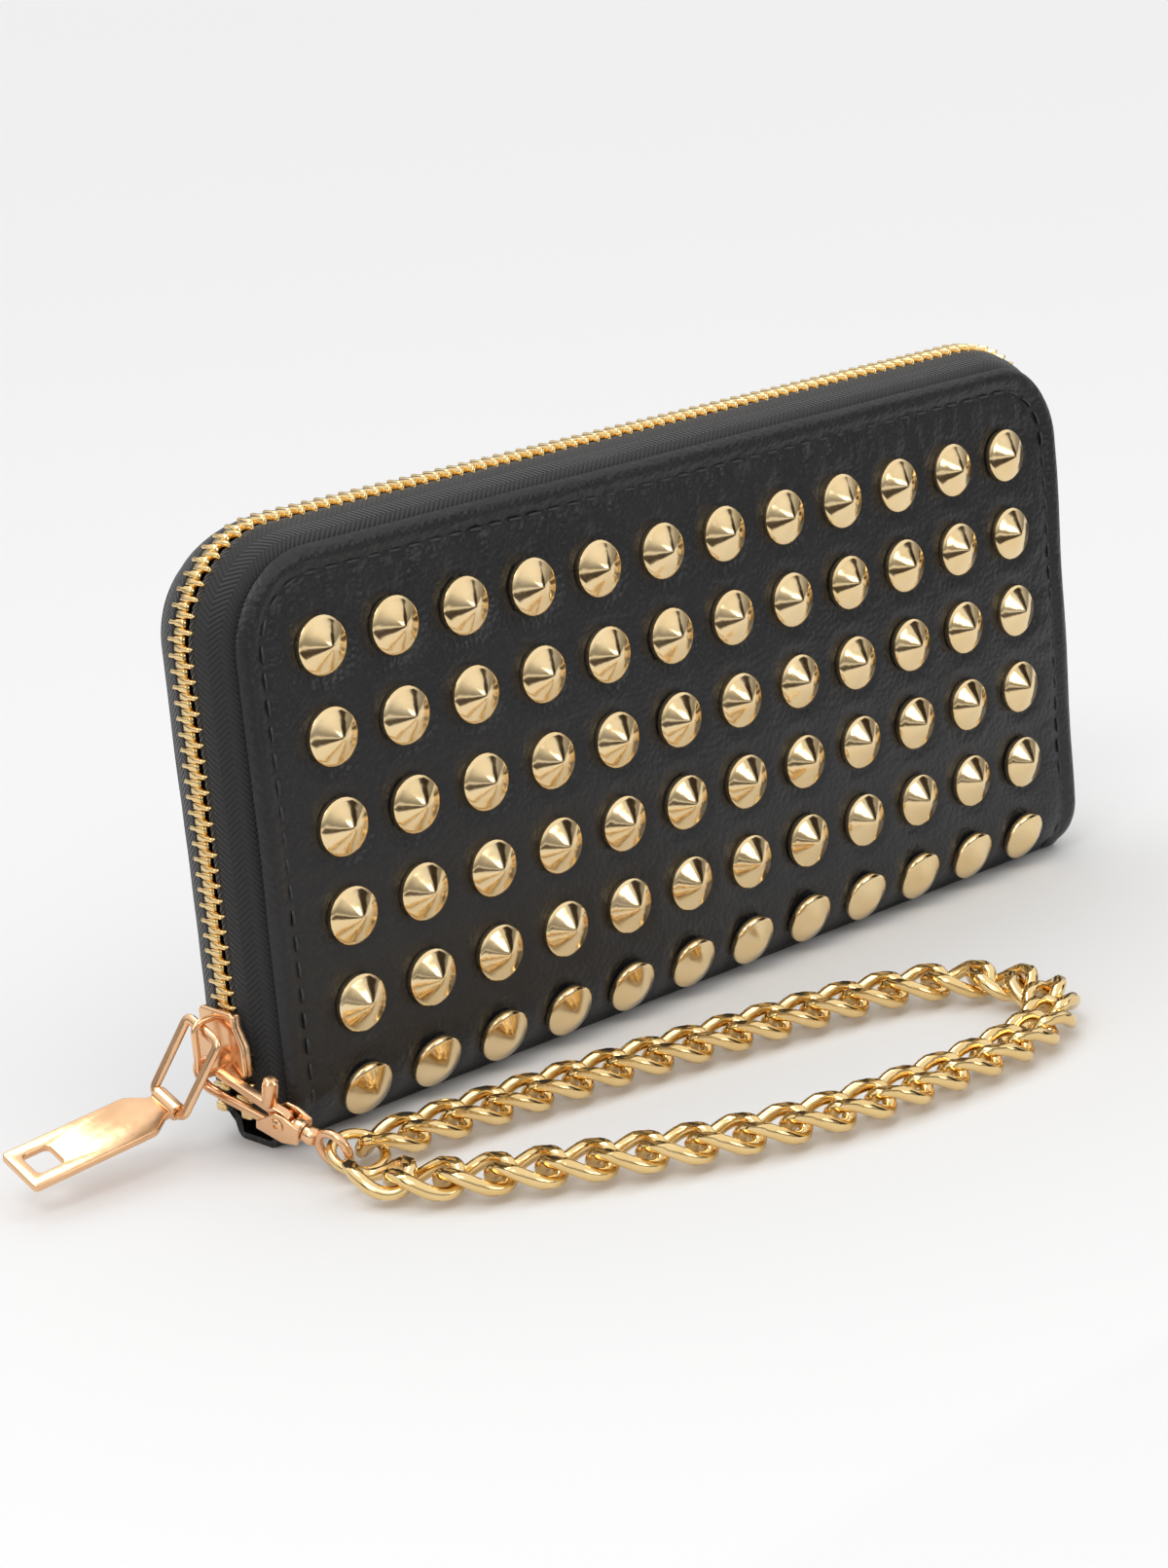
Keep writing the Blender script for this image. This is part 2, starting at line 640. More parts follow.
def at_edge(t, n):
    """The point at Y = 0 at a distance t along the zip, n outwards from the covers' edge, and the way out."""
    on_first = t - SIDE_LEN
    on_top = on_first - CORNER_LEN
    on_last = on_top - TOP_LEN
    if on_first < 0:
        return Vector((-HALF_W - n, 0, ZIP_Z0 + t)), Vector((-1, 0, 0))
    if on_top < 0:
        angle = on_first / CORNER_LEN * math.pi / 2
        out = Vector((-math.cos(angle), 0, math.sin(angle)))
        return Vector((CORNER_R - HALF_W, 0, BODY_H - CORNER_R)) + out * (CORNER_R + n), out
    if on_last < 0:
        return Vector((CORNER_R - HALF_W + on_top, 0, BODY_H + n)), Vector((0, 0, 1))
    if on_last < CORNER_LEN:
        angle = on_last / CORNER_LEN * math.pi / 2
        out = Vector((math.sin(angle), 0, math.cos(angle)))
        return Vector((HALF_W - CORNER_R, 0, BODY_H - CORNER_R)) + out * (CORNER_R + n), out
    return Vector((HALF_W + n, 0, BODY_H - CORNER_R - (on_last - CORNER_LEN))), Vector((1, 0, 0))


# (outwards, distance from the middle) of the tape's run from under the cover to the teeth
TAPE_RUN = [(-2.0, 8.9), (-1.2, 8.95), (-0.3, 8.7), (0.5, 7.9), (1.2, 6.9)]
TAPE_RUN += [(1.8, 5.8), (2.3, 4.6), (2.7, 3.4), (2.9, 2.4), (2.95, 1.6)]
TAPE_W = 9.6


def zip_tape(name, side):
    """A strip of tape swept along the zip, with a UV map in metres for its weave."""
    mesh = bmesh.new()
    steps = int(ZIP_LEN / 2)
    bmesh.ops.create_grid(mesh, x_segments=steps, y_segments=len(TAPE_RUN) - 1, size=0.5)
    layer = mesh.loops.layers.uv.new("strip")
    flat = {v: ((v.co.x + 0.5) * ZIP_LEN, v.co.y + 0.5) for v in mesh.verts}
    for face in mesh.faces:
        for loop in face.loops:
            along, across = flat[loop.vert]
            loop[layer].uv = (along * MM, across * TAPE_W * MM)
    for vert in mesh.verts:
        along, across = flat[vert]
        n, y = TAPE_RUN[round(across * (len(TAPE_RUN) - 1))]
        wave = 0.12 * noise.noise(Vector((along * 0.12, y * 0.3, side * 7)))
        vert.co = at_edge(along, n + wave)[0] + Vector((0, side * y, 0))
    bmesh.ops.recalc_face_normals(mesh, faces=mesh.faces)
    bmesh.ops.solidify(mesh, geom=mesh.faces[:], thickness=TAPE_THICK)
    return piece(name, mesh, "tape")


def zip_teeth(name, side, phase):
    """Die-cast teeth: a rounded body with a waist and a head, clamped on the tape's edge."""
    tooth = bmesh.new()
    half = [(-2.7, 0.26), (-2.4, 0.36), (-1.2, 0.36), (-0.75, 0.6), (1.0, 0.6)]
    slab(tooth, [(x, -y) for x, y in half] + half[::-1], -1.0, 1.0, round_by=0.18, segments=1)
    mesh = bmesh.new()
    for n in range(1, int(ZIP_LEN / TOOTH_PITCH) - 1):
        along = (n + phase) * TOOTH_PITCH
        point, out = at_edge(along, ZIP_OUT)
        apart = SPLIT_HALF if along < SPLIT_LEN else 0.0
        # the tooth's length lies across the tape, its waist along the zip, and its width stands outwards
        axes = Matrix((Vector((0, -side, 0)), out.cross(Vector((0, -side, 0))), out)).transposed().to_4x4()
        centre = point + Vector((0, side * apart, 0))
        merge_into(mesh, tooth.copy(), Matrix.Translation(centre) @ axes)
    tooth.free()
    return piece(name, mesh, "chain_gold")


def zip_stops(name, side):
    """Crimped blocks at both ends of one row of teeth."""
    mesh = bmesh.new()
    for along in (0.8, ZIP_LEN - 1.2):
        point, out = at_edge(along, ZIP_OUT)
        axes = Matrix((Vector((0, side, 0)), out, Vector((0, side, 0)).cross(out))).transposed().to_4x4()
        place = Matrix.Translation(point + Vector((0, side * 3.3, 0))) @ axes
        slab(mesh, rounded_outline(1.2, 1.3, 0.5), -0.7, 0.7, place, 0.25)
    return piece(name, mesh, "chain_gold")


def follow_zip(made):
    """Teeth stay with the middle near the slider and go with the leaf further up."""
    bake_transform(made)


class WALLET_OT_zip(bpy.types.Operator):
    """Make the main zip's tapes, teeth and stops"""

    bl_idname = "wallet.zip"
    bl_label = "Main zip"

    def execute(self, context):
        for word, side, phase in (("front", -1, 0.25), ("back", 1, 0.75)):
            tape = zip_tape(word + "_zip_tape", side)
            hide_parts("zip_tape_" + word)
            # the sewn edge goes with the leaf all the way down, the toothed edge as the teeth do
            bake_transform(tape)
            teeth = zip_teeth(word + "_zip_teeth", side, phase)
            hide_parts("zip_teeth_" + word)
            follow_zip(teeth)
            stops = zip_stops(word + "_zip_stops", side)
            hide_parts("zip_stops_" + word)
            follow_zip(stops)
        return {"FINISHED"}


class WALLET_OT_slider(bpy.types.Operator):
    """Make the main slider and its bridge"""

    bl_idname = "wallet.slider"
    bl_label = "Main slider"

    def execute(self, context):
        # (Y, Z) plans laid in XY, then stood up at the left edge with their thickness along -X
        stand = Matrix(((0, 0, -1, -HALF_W), (1, 0, 0, 0), (0, 1, 0, SLIDER_Z), (0, 0, 0, 1)))

        def plan(wide, narrow):
            """A plate's outline, wide where the rows part and narrow at the other end."""
            outline = [(wide, 0.6), (wide - 0.6, 0), (0.6 - wide, 0), (-wide, 0.6), (-wide, 5.2)]
            outline += [(-narrow, 8.2), (-narrow, SLIDER_LEN - 0.6), (0.6 - narrow, SLIDER_LEN)]
            outline += [(narrow - 0.6, SLIDER_LEN), (narrow, SLIDER_LEN - 0.6), (narrow, 8.2), (wide, 5.2)]
            return outline

        mesh = bmesh.new()
        slab(mesh, plan(6, 4.4), 4.3, 5.3, stand, 0.35, 3)
        slab(mesh, plan(5.4, 3.8), 0.6, 1.5, stand, 0.3, 2)
        slab(mesh, [(-0.9, 0.5), (0.9, 0.5), (0.3, 4.5), (-0.3, 4.5)], 1.2, 4.5, stand)
        for side in (-1, 1):
            rail = [(side * 6, 0.3), (side * 6, 5.2), (side * 4.4, 8.2), (side * 4.4, SLIDER_LEN - 0.3)]
            inner = [(y - side * 0.7, z) for y, z in reversed(rail)]
            slab(mesh, rail + inner if side < 0 else inner[::-1] + rail[::-1], 3.5, 4.6, stand, 0.2, 2)
        body = piece("main_slider_body", mesh, "rose")
        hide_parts("slider_body")
        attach(crisp(body), "main_slider")

        mesh = bmesh.new()
        arch = [(4.9, 0.6), (7.9, 0.6), (8.8, 0.85), (9.35, 1.4), (9.5, 2.2), (9.5, 5.0)]
        arch += [(9.5, 7.8), (9.35, 8.6), (8.8, 9.15), (7.9, 9.4), (4.9, 9.4)]
        points = [Vector((-HALF_W - n, 0, SLIDER_Z + z)) for n, z in arch]
        wire(mesh, points, 0.5, sides=14, closed=False, squash=1.2, face=(0, 1, 0))
        bridge = piece("main_slider_bridge", mesh, "rose")
        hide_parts("slider_bridge")
        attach(crisp(bridge, 50), "main_slider")
        return {"FINISHED"}


# ---------------------------------------------------------------- pull

PULL_ROLL = math.radians(22)
LINK_ANGLE = math.radians(22)
LINK_LEN = 13.5
LINK_HALF_W = 4.0
PULL_PIVOT = Vector((-HALF_W - 7.8, 0, SLIDER_Z + 7.9))
AT_PULL = Matrix.Translation(PULL_PIVOT) @ Matrix.Rotation(PULL_ROLL, 4, "X")
AT_LINK = AT_PULL @ Matrix.Rotation(LINK_ANGLE, 4, "Y")
AT_TAB = (
    AT_LINK
    @ Matrix.Translation((0, 0, -LINK_LEN))
    @ Matrix.Rotation(-LINK_ANGLE, 4, "Y")
    @ Matrix.Rotation(math.radians(-6), 4, "Y")
)
TAB_LEN = 28.0
TAB_HALF_W = 4.75


def plate_with_hole(mesh, outline, hole, low, high, place, round_by):
    """A flat plate between two heights with one hole, its edges rounded."""
    part = bmesh.new()
    loops = []
    for ring in (outline, hole):
        verts = [part.verts.new((x, y, low)) for x, y in ring]
        loops += [part.edges.new((a, b)) for a, b in zip(verts, verts[1:] + verts[:1])]
    bmesh.ops.triangle_fill(part, use_beauty=True, use_dissolve=False, edges=loops)
    bmesh.ops.dissolve_limit(part, angle_limit=0.01, verts=part.verts, edges=part.edges)
    lift(part, high - low)
    bevel(part, sharp_edges(part), round_by, 3)
    merge_into(mesh, part, place)


class WALLET_OT_pull(bpy.types.Operator):
    """Make the pull's link and its flat tab"""

    bl_idname = "wallet.pull"
    bl_label = "Pull"

    def execute(self, context):
        mesh = bmesh.new()
        oval = rounded_outline(LINK_HALF_W, LINK_LEN / 2, 1.1, 4, (0, -LINK_LEN / 2))
        loop = [Vector((0, y, z)) for y, z in oval]
        wire(mesh, loop, 0.62, sides=16, squash=1.45, place=AT_LINK, face=(1, 0, 0))
        link = piece("pull_link_loop", mesh, "rose")
        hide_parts("pull_link")
        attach(link, "pull_link")

        mesh = bmesh.new()
        outline = [(-1.1, -2.6), (-2.2, -2.6), (-5.0, -4.5), (-5.7, -TAB_HALF_W)]
        outline += [(0.8 - TAB_LEN, -TAB_HALF_W), (0.2 - TAB_LEN, 0.2 - TAB_HALF_W)]
        outline += [(-TAB_LEN, 0.8 - TAB_HALF_W)]
        outline += [(x, -y) for x, y in reversed(outline)]
        hole = rounded_outline(2.4, 2.4, 0.9, 4, (4.6 - TAB_LEN, 0))
        plate_with_hole(mesh, outline, hole, -0.65, 0.65, AT_TAB, 0.3)
        sleeve = [(0.78, -2.75), (1.35, -2.75), (1.5, -2.6), (1.5, 2.6), (1.35, 2.75), (0.78, 2.75)]
        turned(mesh, sleeve, 24, AT_TAB @ Z_TO_Y)
        tab = piece("pull_tab_plate", mesh, "rose")
        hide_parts("pull_tab")
        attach(crisp(tab), "pull_tab")
        return {"FINISHED"}


# ---------------------------------------------------------------- clasp

HOOK_R = 3.0
RIVET_X = 14.5
EYE_X = 24.2
AT_CLASP = (
    Matrix.Translation((-HALF_W - 7.1, 0, SLIDER_Z))
    @ Matrix.Rotation(math.radians(-74.7), 4, "Z")
    @ Matrix.Rotation(math.radians(22.5), 4, "Y")
    @ Matrix.Rotation(math.radians(107), 4, "X")
)


class WALLET_OT_clasp(bpy.types.Operator):
    """Make the snap clasp: hook, thumb lever, rivet and swivel"""

    bl_idname = "wallet.clasp"
    bl_label = "Clasp"

    def execute(self, context):
        mesh = bmesh.new()
        bend = [math.radians(a) for a in range(92, 285, 12)]
        hook = [(HOOK_R * math.cos(a), HOOK_R * math.sin(a)) for a in bend]
        hook += [(3.2, -2.9), (6.0, -2.7), (9.0, -2.5), (12.0, -2.3)]
        radii = [0.5, 0.72] + [0.8] * (len(hook) - 4) + [0.85, 0.9]
        wire(mesh, [Vector((x, y, 0)) for x, y in hook], radii, sides=14, closed=False, place=AT_CLASP)
        cheek = [(10.2, -3.3), (15.5, -3.2), (18.5, -1.7), (18.5, 1.6), (15.7, 2.4), (13.6, 2.2)]
        cheek += [(11.0, -0.9), (10.2, -1.6)]
        for low, high in ((-1.9, -1.2), (1.2, 1.9)):
            slab(mesh, cheek, low, high, AT_CLASP, 0.3, 3)
        slab(mesh, [(10.2, -3.3), (15.5, -3.2), (16.4, -2.2), (10.2, -2.2)], -1.4, 1.4, AT_CLASP)
        neck = [(0.8, 16.7), (1.7, 16.7), (1.9, 17.2), (1.9, 18.1), (1.6, 18.5), (0.8, 18.5)]
        turned(mesh, neck, 28, AT_CLASP @ Z_TO_X)
        body = piece("clasp_hook_and_shank", mesh, "rose")
        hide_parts("clasp_body")
        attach(crisp(body), "clasp")

        mesh = bmesh.new()
        arm = [(1.2, 2.5), (1.0, 1.9), (1.2, 1.2), (12.4, 0.1), (13.2, -0.8), (14.5, -1.1)]
        arm += [(15.6, -0.6), (16.0, 0.4), (15.6, 1.4), (14.5, 1.9)]
        slab(mesh, arm, -0.75, 0.75, AT_CLASP, 0.25, 3)
        knob = [(0.0, 0.0), (1.2, 0.0), (1.3, 0.4), (1.3, 4.2), (1.15, 4.9), (0.75, 5.3), (0.0, 5.45)]
        stand = Matrix.Translation((RIVET_X - 3, 1.8, 0)) @ Matrix.Rotation(-math.pi / 2, 4, "X")
        turned(mesh, knob, 24, AT_CLASP @ stand)
        lever = piece("clasp_thumb_lever", mesh, "rose")
        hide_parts("clasp_lever")
        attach(crisp(lever), "clasp_lever")

        mesh = bmesh.new()
        rivet = [(0.0, -2.45), (0.8, -2.45), (1.15, -2.2), (1.2, -1.95), (0.7, -1.93), (0.7, 1.93)]
        rivet += [(1.2, 1.95), (1.15, 2.2), (0.8, 2.45), (0.45, 2.45), (0.4, 2.2), (0.0, 2.2)]
        turned(mesh, rivet, 24, AT_CLASP @ Matrix.Translation((RIVET_X, 0.4, 0)))
        pin = piece("clasp_rivet_pin", mesh, "rose")
        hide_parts("clasp_rivet")
        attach(crisp(pin), "clasp")

        mesh = bmesh.new()
        post = [(0.0, 16.1), (1.05, 16.1), (1.05, 16.5), (0.74, 16.55), (0.74, 18.55), (1.35, 18.6)]
        post += [(1.5, 18.9), (1.5, 20.3), (1.2, 20.8), (0.0, 20.9)]
        turned(mesh, post, 28, AT_CLASP @ Z_TO_X)
        wire(mesh, circle(3, 32, EYE_X), 0.75, sides=14, place=AT_CLASP)
        swivel = piece("clasp_swivel_eye", mesh, "rose")
        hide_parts("clasp_swivel")
        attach(crisp(swivel, 45), "clasp_swivel")
        return {"FINISHED"}


# ---------------------------------------------------------------- chain

CHAIN_START = Vector((-87, -24.5))
FIRST_HEADING = -8
# turn of each link from the one before it, in degrees to the left, as in the part's design
CHAIN_TURNS = [0, 0, 0, -1, -1, -1, -1, 0, 0, 0, -2, -4, -10, -20, -28, -30, -28, -22]
CHAIN_TURNS += [-14, -8, -4, -2, -2, -4, -6, -5, -4, -4, -2, -2, -2, -4, -14, -26]
LINK_PITCH = 7.7
LINK_A = 5.4
LINK_B = 3.7
LINK_TWIST = math.radians(48)
LINK_BULGE = 2.3
LINK_CUT = 0.55


def blunt(value):
    """Squares off a sine or cosine for a blunt oval."""
    return math.copysign(abs(value) ** (2 / LINK_BULGE), value)


def chain_link():
    """One curb link: a twisted oval of wire with faces cut flat at its top and bottom."""
    sizes = bpy.context.scene.wallet_sizes
    radius = sizes.wire / MM / 2
    points = []
    for n in range(sizes.link_rings):
        angle = 2 * math.pi * n / sizes.link_rings
        x, y = blunt(math.cos(angle)), blunt(math.sin(angle))
        twist = LINK_TWIST * x
        points.append(Vector((LINK_A * x, LINK_B * y * math.cos(twist), LINK_B * y * math.sin(twist))))
    mesh = bmesh.new()
    wire(mesh, points, radius, sides=12)
    top = max(v.co.z for v in mesh.verts) - LINK_CUT
    for vert in mesh.verts:
        vert.co.z = min(max(vert.co.z, -top), top)
    return mesh


class WALLET_OT_chain(bpy.types.Operator):
    """Make the ring and the curb chain, two links to a piece and one in the last"""

    bl_idname = "wallet.chain"
    bl_label = "Chain"

    def execute(self, context):
        mesh = bmesh.new()
        tilt = Matrix.Rotation(math.radians(-6), 4, "Y") @ Matrix.Rotation(math.radians(26), 4, "X")
        wire(mesh, circle(4.2, 40), 0.85, sides=14, place=Matrix.Translation((-93.6, -24.2, 3.4)) @ tilt)
        made = piece("chain_end_ring", mesh, "chain_gold")
        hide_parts("chain_ring")
        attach(made, "chain_ring")

        height = LINK_B * math.sin(LINK_TWIST) + 1.1
        at, heading, places = CHAIN_START.copy(), math.radians(FIRST_HEADING), []
        for turn in [0] + CHAIN_TURNS:
            nxt = heading + math.radians(turn)
            if places:
                step = Vector((math.cos(heading) + math.cos(nxt), math.sin(heading) + math.sin(nxt)))
                at = at + step * LINK_PITCH / 2
            heading = nxt
            places.append(Matrix.Translation((at.x, at.y, height)) @ Matrix.Rotation(heading, 4, "Z"))
        link = chain_link()
        for n in range(0, len(places), 2):
            mesh = bmesh.new()
            for place in places[n : n + 2]:
                merge_into(mesh, link.copy(), place)
            number = n // 2 + 1
            node = "chain_links_%02d" % number
            pair = piece("curb_pair_%02d" % number, mesh, "chain_gold")
            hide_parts(node)
            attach(crisp(pair, 38), node)
        link.free()
        return {"FINISHED"}


# ---------------------------------------------------------------- inside


def soft_panel(mesh, width, low, high, radius, y, thick, wave=0.15, hem=0.0):
    """A thin sewn panel with round top corners, slightly wavy, thicker at a hemmed top edge."""
    part = bmesh.new()
    bmesh.ops.create_grid(part, x_segments=70, y_segments=28, size=0.5)
    for vert in part.verts:
        x, z = vert.co.x * width, low + (vert.co.y + 0.5) * (high - low)
        a = (abs(x) - (width / 2 - radius)) / radius
        b = (z - (high - radius)) / radius
        if a > 0 and b > 0:
            pull = max(a, b) / math.hypot(a, b)
            x = math.copysign(width / 2 - radius + radius * a * pull, x)
            z = high - radius + radius * b * pull
        swell = wave * noise.noise(Vector((x * 0.05, z * 0.08, y)))
        vert.co = (x, y + swell, z)
    bmesh.ops.recalc_face_normals(part, faces=part.faces)
    bmesh.ops.solidify(part, geom=part.faces[:], thickness=thick)
    merge_into(mesh, part)
    if hem:
        reach = width / 2 - radius
        rim = [Vector((x, y, high - 0.2)) for x in (-reach, -reach / 2, 0, reach / 2, reach)]
        wire(mesh, rim, hem, sides=8, closed=False)


def gusset(name, side, leaf_side):
    """A pleated side wall from a leaf to the middle."""
    mesh = bmesh.new()
    bmesh.ops.create_grid(mesh, x_segments=8, y_segments=24, size=0.5)
    for vert in mesh.verts:
        t, z = vert.co.x + 0.5, 14 + (vert.co.y + 0.5) * 62
        fold = 3.0 * (1 - abs(2 * t - 1))
        vert.co = (side * (88.9 - fold), leaf_side * (3.15 + 2.4 * t), z)
    bmesh.ops.recalc_face_normals(mesh, faces=mesh.faces)
    bmesh.ops.solidify(mesh, geom=mesh.faces[:], thickness=GUSSET_THICK)
    return piece(name, mesh, "lining")


class WALLET_OT_inside(bpy.types.Operator):
    """Make the linings, card pockets, dividers, gussets and coin pocket"""

    bl_idname = "wallet.inside"
    bl_label = "Inside"

    def execute(self, context):
        for word, side in (("front", -1), ("back", 1)):
            leaf = word + "_leaf"
            mesh = bmesh.new()
            soft_panel(mesh, 185, 12, 92.5, 12.5, side * 8.0, 0.5, 0.05)
            lining = piece(word + "_lining_cloth", mesh, "lining")
            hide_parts(word + "_lining")
            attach(lining, leaf)
            mesh = bmesh.new()
            for n in range(4):
                soft_panel(mesh, 178, 15, 80 - 10 * n, 3, side * (7.45 - 0.5 * n), 0.42, 0.05, 0.32)
            pockets = piece(word + "_card_pocket_stack", mesh, "leather")
            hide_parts(word + "_card_pockets")
            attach(pockets, leaf)
            mesh = bmesh.new()
            soft_panel(mesh, 170, 3.1, 80, 4, side * 4.1, 0.35, 0.15, 0.3)
            divider = piece(word + "_bill_divider", mesh, "lining")
            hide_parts("bill_divider_" + word)
            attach(divider, "middle")
            mesh = bmesh.new()
            soft_panel(mesh, 177, 2.4, 70, 1, side * 2.7, 0.5, 0.1, 0.35)
            wall = piece(word + "_coin_pocket_wall", mesh, "leather")
            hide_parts("coin_pocket_" + word)
            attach(wall, "middle")
            for hand, x_side in (("left", -1), ("right", 1)):
                fold = gusset("%s_%s_gusset" % (word, hand), x_side, side)
                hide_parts("gusset_%s_%s" % (word, hand))
                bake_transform(fold)
        return {"FINISHED"}


class WALLET_OT_coin_zip(bpy.types.Operator):
    """Make the coin pocket's zip, slider and pull"""

    bl_idname = "wallet.coin_zip"
    bl_label = "Coin zip"

    def execute(self, context):
        mesh = bmesh.new()
        section = [(1.7, -0.2), (2.15, -0.2), (2.15, -10.0), (2.4, -10.0), (2.4, 0.0), (2.2, 0.2), (1.7, 0.2)]
        along_x = Matrix(((0, 0, 1, COIN_ZIP_START), (1, 0, 0, 0), (0, 1, 0, COIN_ZIP_Z), (0, 0, 0, 1)))
        for side in (-1, 1):
            outline = [(side * y, z) for y, z in section][::side]
            slab(mesh, outline, 0, COIN_ZIP_LEN, along_x)
        tapes = piece("coin_zip_tape_strips", mesh, "lining")
        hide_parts("coin_zip_tapes")
        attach(crisp(tapes), "middle")

        mesh = bmesh.new()
        tooth = bmesh.new()
        slab(tooth, rounded_outline(0.42, 1.1, 0.3, 1), -0.65, 0.65, round_by=0.12, segments=1)
        for n in range(74):
            for side in (-1, 1):
                x = COIN_ZIP_START + (n + (0.25 if side < 0 else 0.75)) * COIN_TOOTH_PITCH + 0.42
                merge_into(mesh, tooth.copy(), Matrix.Translation((x, side * 0.5, COIN_ZIP_Z)))
        tooth.free()
        teeth = piece("coin_zip_tooth_rows", mesh, "chain_gold")
        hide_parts("coin_zip_teeth")
        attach(teeth, "middle")

        mesh = bmesh.new()
        place = Matrix.Translation((69.5, 0, COIN_ZIP_Z))
        slab(mesh, rounded_outline(3.5, 2.1, 0.8), 1.0, 1.8, place, 0.25)
        slab(mesh, rounded_outline(3.5, 1.6, 0.6), -1.7, -0.9, place, 0.2)
        slab(mesh, rounded_outline(0.6, 0.7, 0.2, 1, (2.8, 0)), -1.3, 1.4, place)
        for side in (-1, 1):
            slab(mesh, rounded_outline(1.5, 0.4, 0.3, 2, (0.5, side * 1.4)), 1.7, 3.8, place, 0.12)
        turned(mesh, [(0.0, -1.3), (0.5, -1.3), (0.5, 1.3), (0.0, 1.3)], 16, COIN_PIN @ Z_TO_Y)
        slider = piece("coin_slider_body", mesh, "chain_gold")
        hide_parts("coin_slider")
        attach(crisp(slider), "coin_slider")

        mesh = bmesh.new()
        sleeve = [(0.58, -0.85), (1.1, -0.85), (1.2, -0.7), (1.2, 0.7), (1.1, 0.85), (0.58, 0.85)]
        turned(mesh, sleeve, 20, COIN_PIN @ Z_TO_Y)
        slab(mesh, [(1.0, -0.7), (3.4, -0.85), (3.4, 0.85), (1.0, 0.7)], -0.4, 0.4, COIN_PIN, 0.1)
        leaf, hole = rounded_outline(5.4, 2.4, 1.2, 4, (8.6, 0)), rounded_outline(1.6, 1.0, 0.7, 4, (11.0, 0))
        plate_with_hole(mesh, leaf, hole, -0.4, 0.4, COIN_PIN, 0.15)
        pull = piece("coin_pull_leaf", mesh, "chain_gold")
        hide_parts("coin_pull")
        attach(crisp(pull), "coin_pull")
        return {"FINISHED"}


class WALLET_OT_hidden(bpy.types.Operator):
    """Give the carried-over pieces their finishes"""

    bl_idname = "wallet.hidden"
    bl_label = "Carried-over pieces"

    def execute(self, context):
        kept = {
            "front_board": "board", "back_board": "board", "spine_lining": "lining",
            "stud_caps": "gold", "clasp_spring": "rose",
        }
        for node, name in kept.items():
            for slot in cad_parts[node].material_slots:
                slot.material = finish(name)
        return {"FINISHED"}


# ---------------------------------------------------------------- stage


def grid_object(name, size, place=None):
    """A flat square, moved by a matrix, as an object of the scene that is not a piece of the wallet."""
    mesh = bmesh.new()
    bmesh.ops.create_grid(mesh, x_segments=1, y_segments=1, size=size)
    if place is not None:
        bmesh.ops.transform(mesh, matrix=place, verts=mesh.verts)
    data = bpy.data.meshes.new(name)
    mesh.to_mesh(data)
    mesh.free()
    made = bpy.data.objects.new(name, data)
    bpy.context.scene.collection.objects.link(made)
    return made


def stage_card(name, centre, facing, width, height, colour, strength=0.0):
    """A card near the set that shows only in reflections."""
    turn = (Vector(facing) - Vector(centre)).to_track_quat("Z", "Y").to_matrix().to_4x4()
    card = grid_object(name, 0.5, Matrix.Translation(centre) @ turn @ Matrix.Diagonal((width, height, 1, 1)))
    shade = linear(colour)
    glow = {"Emission_Color": shade, "Emission_Strength": strength}
    card.data.materials.append(surface(name, Base_Color=shade, Roughness=1.0, **glow)[0])
    card.visible_camera = False
    card.visible_diffuse = False
    card.visible_shadow = False


def soft_light(name, at, size, power):
    """A square softbox aimed at the wallet."""
    light = bpy.data.lights.new(name, "AREA")
    light.shape = "RECTANGLE"
    light.size, light.size_y = size
    light.energy = power
    made = bpy.data.objects.new(name, light)
    bpy.context.scene.collection.objects.link(made)
    made.location = at
    made.rotation_euler = (Vector((-0.02, -0.02, 0.04)) - Vector(at)).to_track_quat("-Z", "Y").to_euler()


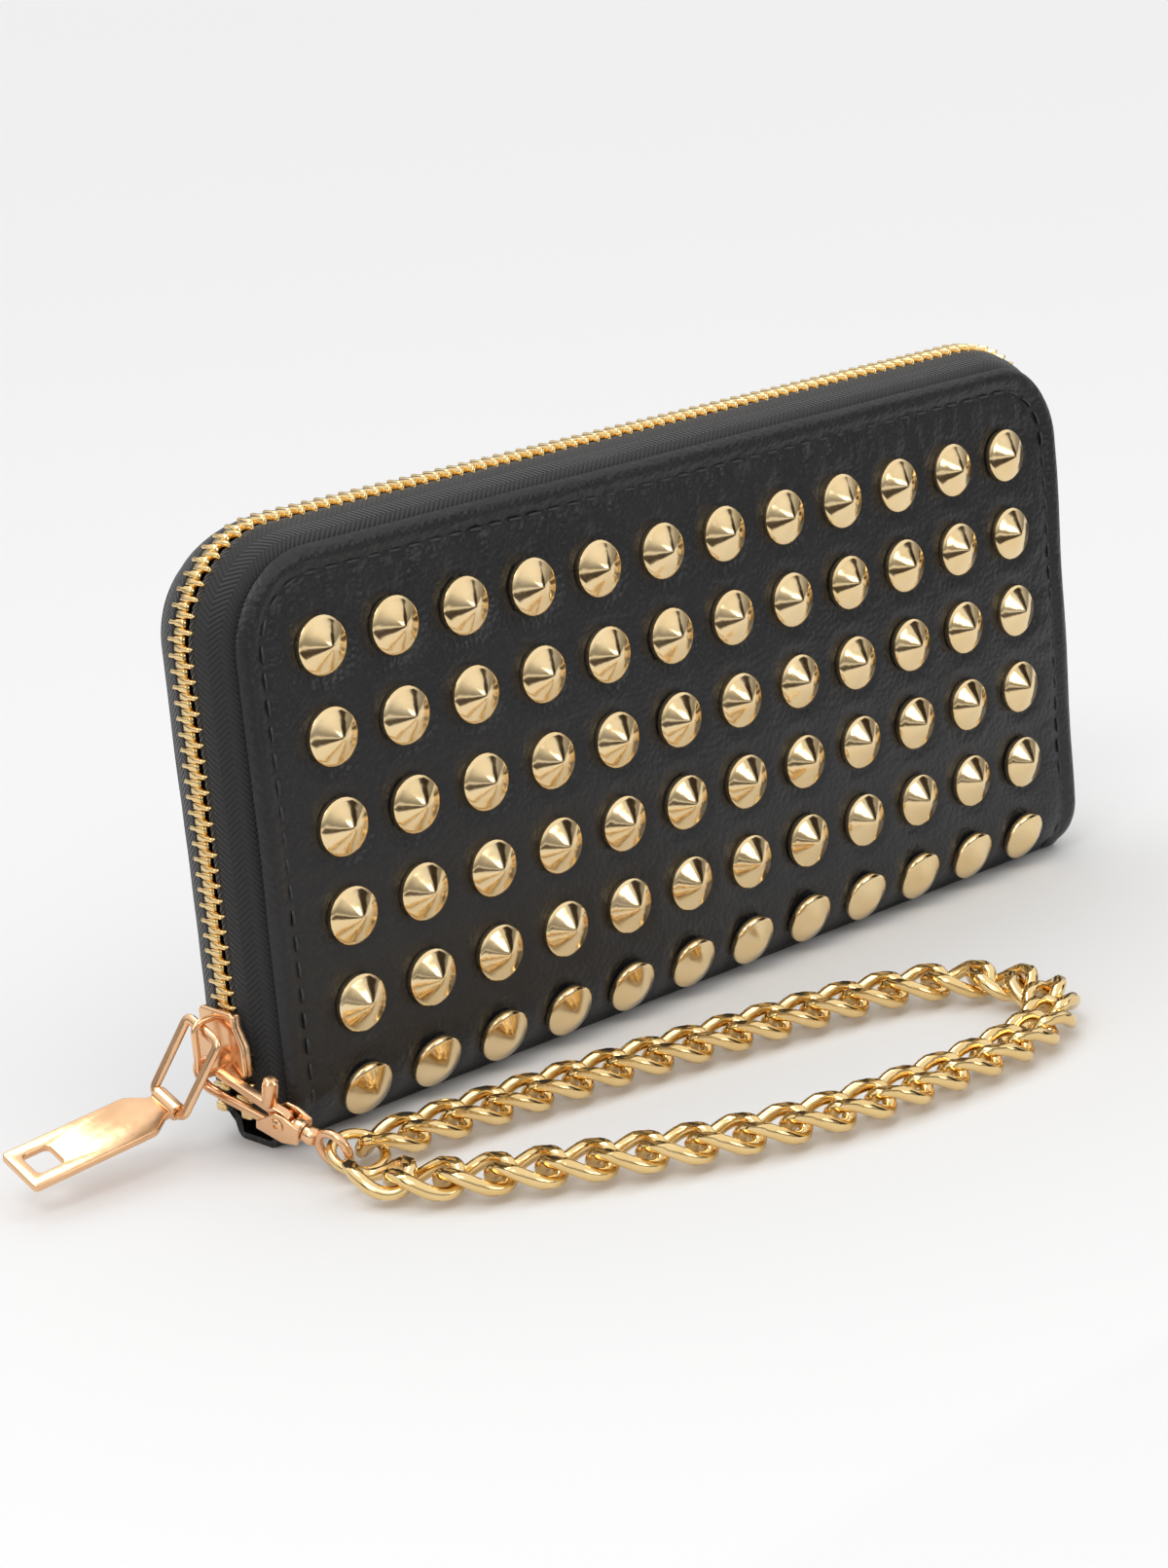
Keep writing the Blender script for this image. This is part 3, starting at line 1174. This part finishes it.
class WALLET_OT_stage(bpy.types.Operator):
    """Set up the floor, the lights and the camera"""

    bl_idname = "wallet.stage"
    bl_label = "Stage"

    def execute(self, context):
        scene = context.scene
        data = bpy.data.cameras.new("camera")
        data.lens, data.sensor_width, data.sensor_fit = 108.0, 36.0, "HORIZONTAL"
        data.clip_start, data.clip_end = 0.01, 50.0
        camera = bpy.data.objects.new("camera", data)
        scene.collection.objects.link(camera)
        # the camera's own axes: to the right, downwards and forwards in its view
        right = Vector((0.73325, -0.67410, -0.08908))
        down = Vector((-0.24203, -0.13632, -0.96065))
        forward = Vector((0.63543, 0.72595, -0.26311))
        turn = Matrix((right, -down, -forward)).transposed().to_4x4()
        camera.matrix_world = Matrix.Translation((-0.3969, -0.4311, 0.1966)) @ turn
        scene.camera = camera

        floor = grid_object("studio_floor", 15)
        shade = linear(scene.wallet_colours.floor)
        floor.data.materials.append(surface("matt_white_floor", Base_Color=shade, Roughness=0.9)[0])

        world = bpy.data.worlds.new("studio")
        scene.world = world
        world.use_nodes = True
        # a bright ceiling over darker walls: the floor is evenly lit and metal has something to reflect
        tree = world.node_tree
        height = add(tree, "ShaderNodeSeparateXYZ", {0: add(tree, "ShaderNodeTexCoord").outputs["Generated"]})
        ceiling = add(
            tree, "ShaderNodeMapRange", {"Value": height.outputs["Z"]}, interpolation_type="SMOOTHSTEP",
            From_Min=0.05, From_Max=0.6, To_Min=0.3, To_Max=1.06,
        )
        tree.links.new(ceiling.outputs[0], tree.nodes["Background"].inputs["Strength"])
        tree.nodes["Background"].inputs["Color"].default_value = (1, 1, 1, 1)
        scene.view_settings.view_transform = "Standard"
        soft_light("key_softbox", (-0.55, -0.35, 0.75), (0.35, 0.35), 1.2)
        stage_card("bright_card_front", (0.26, -0.93, 0.31), (0, 0, 0.05), 0.42, 0.26, 0xFFFFFF, 2.6)
        stage_card("bright_card_left", (-0.95, -0.3, 0.45), (0, 0, 0.05), 0.3, 0.3, 0xFFFFFF, 3.0)
        stage_card("bright_card_top", (-0.15, 0.25, 0.95), (0, 0, 0.05), 0.7, 0.35, 0xFFFFFF, 5.0)
        stage_card("dark_flag_right", (0.75, -0.55, 0.2), (0, 0, 0.05), 0.4, 0.6, 0x2A1C10)
        stage_card("dark_flag_left", (-0.95, -0.05, 0.12), (0, 0, 0.05), 0.25, 0.4, 0x2A1C10)
        stage_card("dark_flag_floor", (0.08, -0.36, 0.001), (0.08, -0.36, 1), 0.9, 0.4, 0x2A1C10)
        return {"FINISHED"}


OPERATORS = (
    WALLET_OT_stage, WALLET_OT_covers, WALLET_OT_studs, WALLET_OT_zip, WALLET_OT_slider, WALLET_OT_pull,
    WALLET_OT_clasp, WALLET_OT_chain, WALLET_OT_inside, WALLET_OT_coin_zip, WALLET_OT_hidden,
)


class WALLET_PT_panel(bpy.types.Panel):
    """Lists the wallet's sizes and the steps that build it"""

    bl_idname = "WALLET_PT_panel"
    bl_label = "Wallet"
    bl_space_type = "VIEW_3D"
    bl_region_type = "UI"
    bl_category = "Wallet"

    def draw(self, context):
        for group in (context.scene.wallet_sizes, context.scene.wallet_colours):
            for name in type(group).__annotations__:
                self.layout.prop(group, name)
        for operator in OPERATORS:
            self.layout.operator(operator.bl_idname)


CLASSES = (WalletSizes, WalletColours) + OPERATORS + (WALLET_PT_panel,)


def register():
    for cls in CLASSES:
        bpy.utils.register_class(cls)
    bpy.types.Scene.wallet_sizes = PointerProperty(type=WalletSizes)
    bpy.types.Scene.wallet_colours = PointerProperty(type=WalletColours)


def unregister():
    del bpy.types.Scene.wallet_colours
    del bpy.types.Scene.wallet_sizes
    for cls in reversed(CLASSES):
        bpy.utils.unregister_class(cls)


def main():
    register()
    for operator in OPERATORS:
        getattr(bpy.ops.wallet, operator.bl_idname.split(".")[1])()


if __name__ == "__main__":
    main()
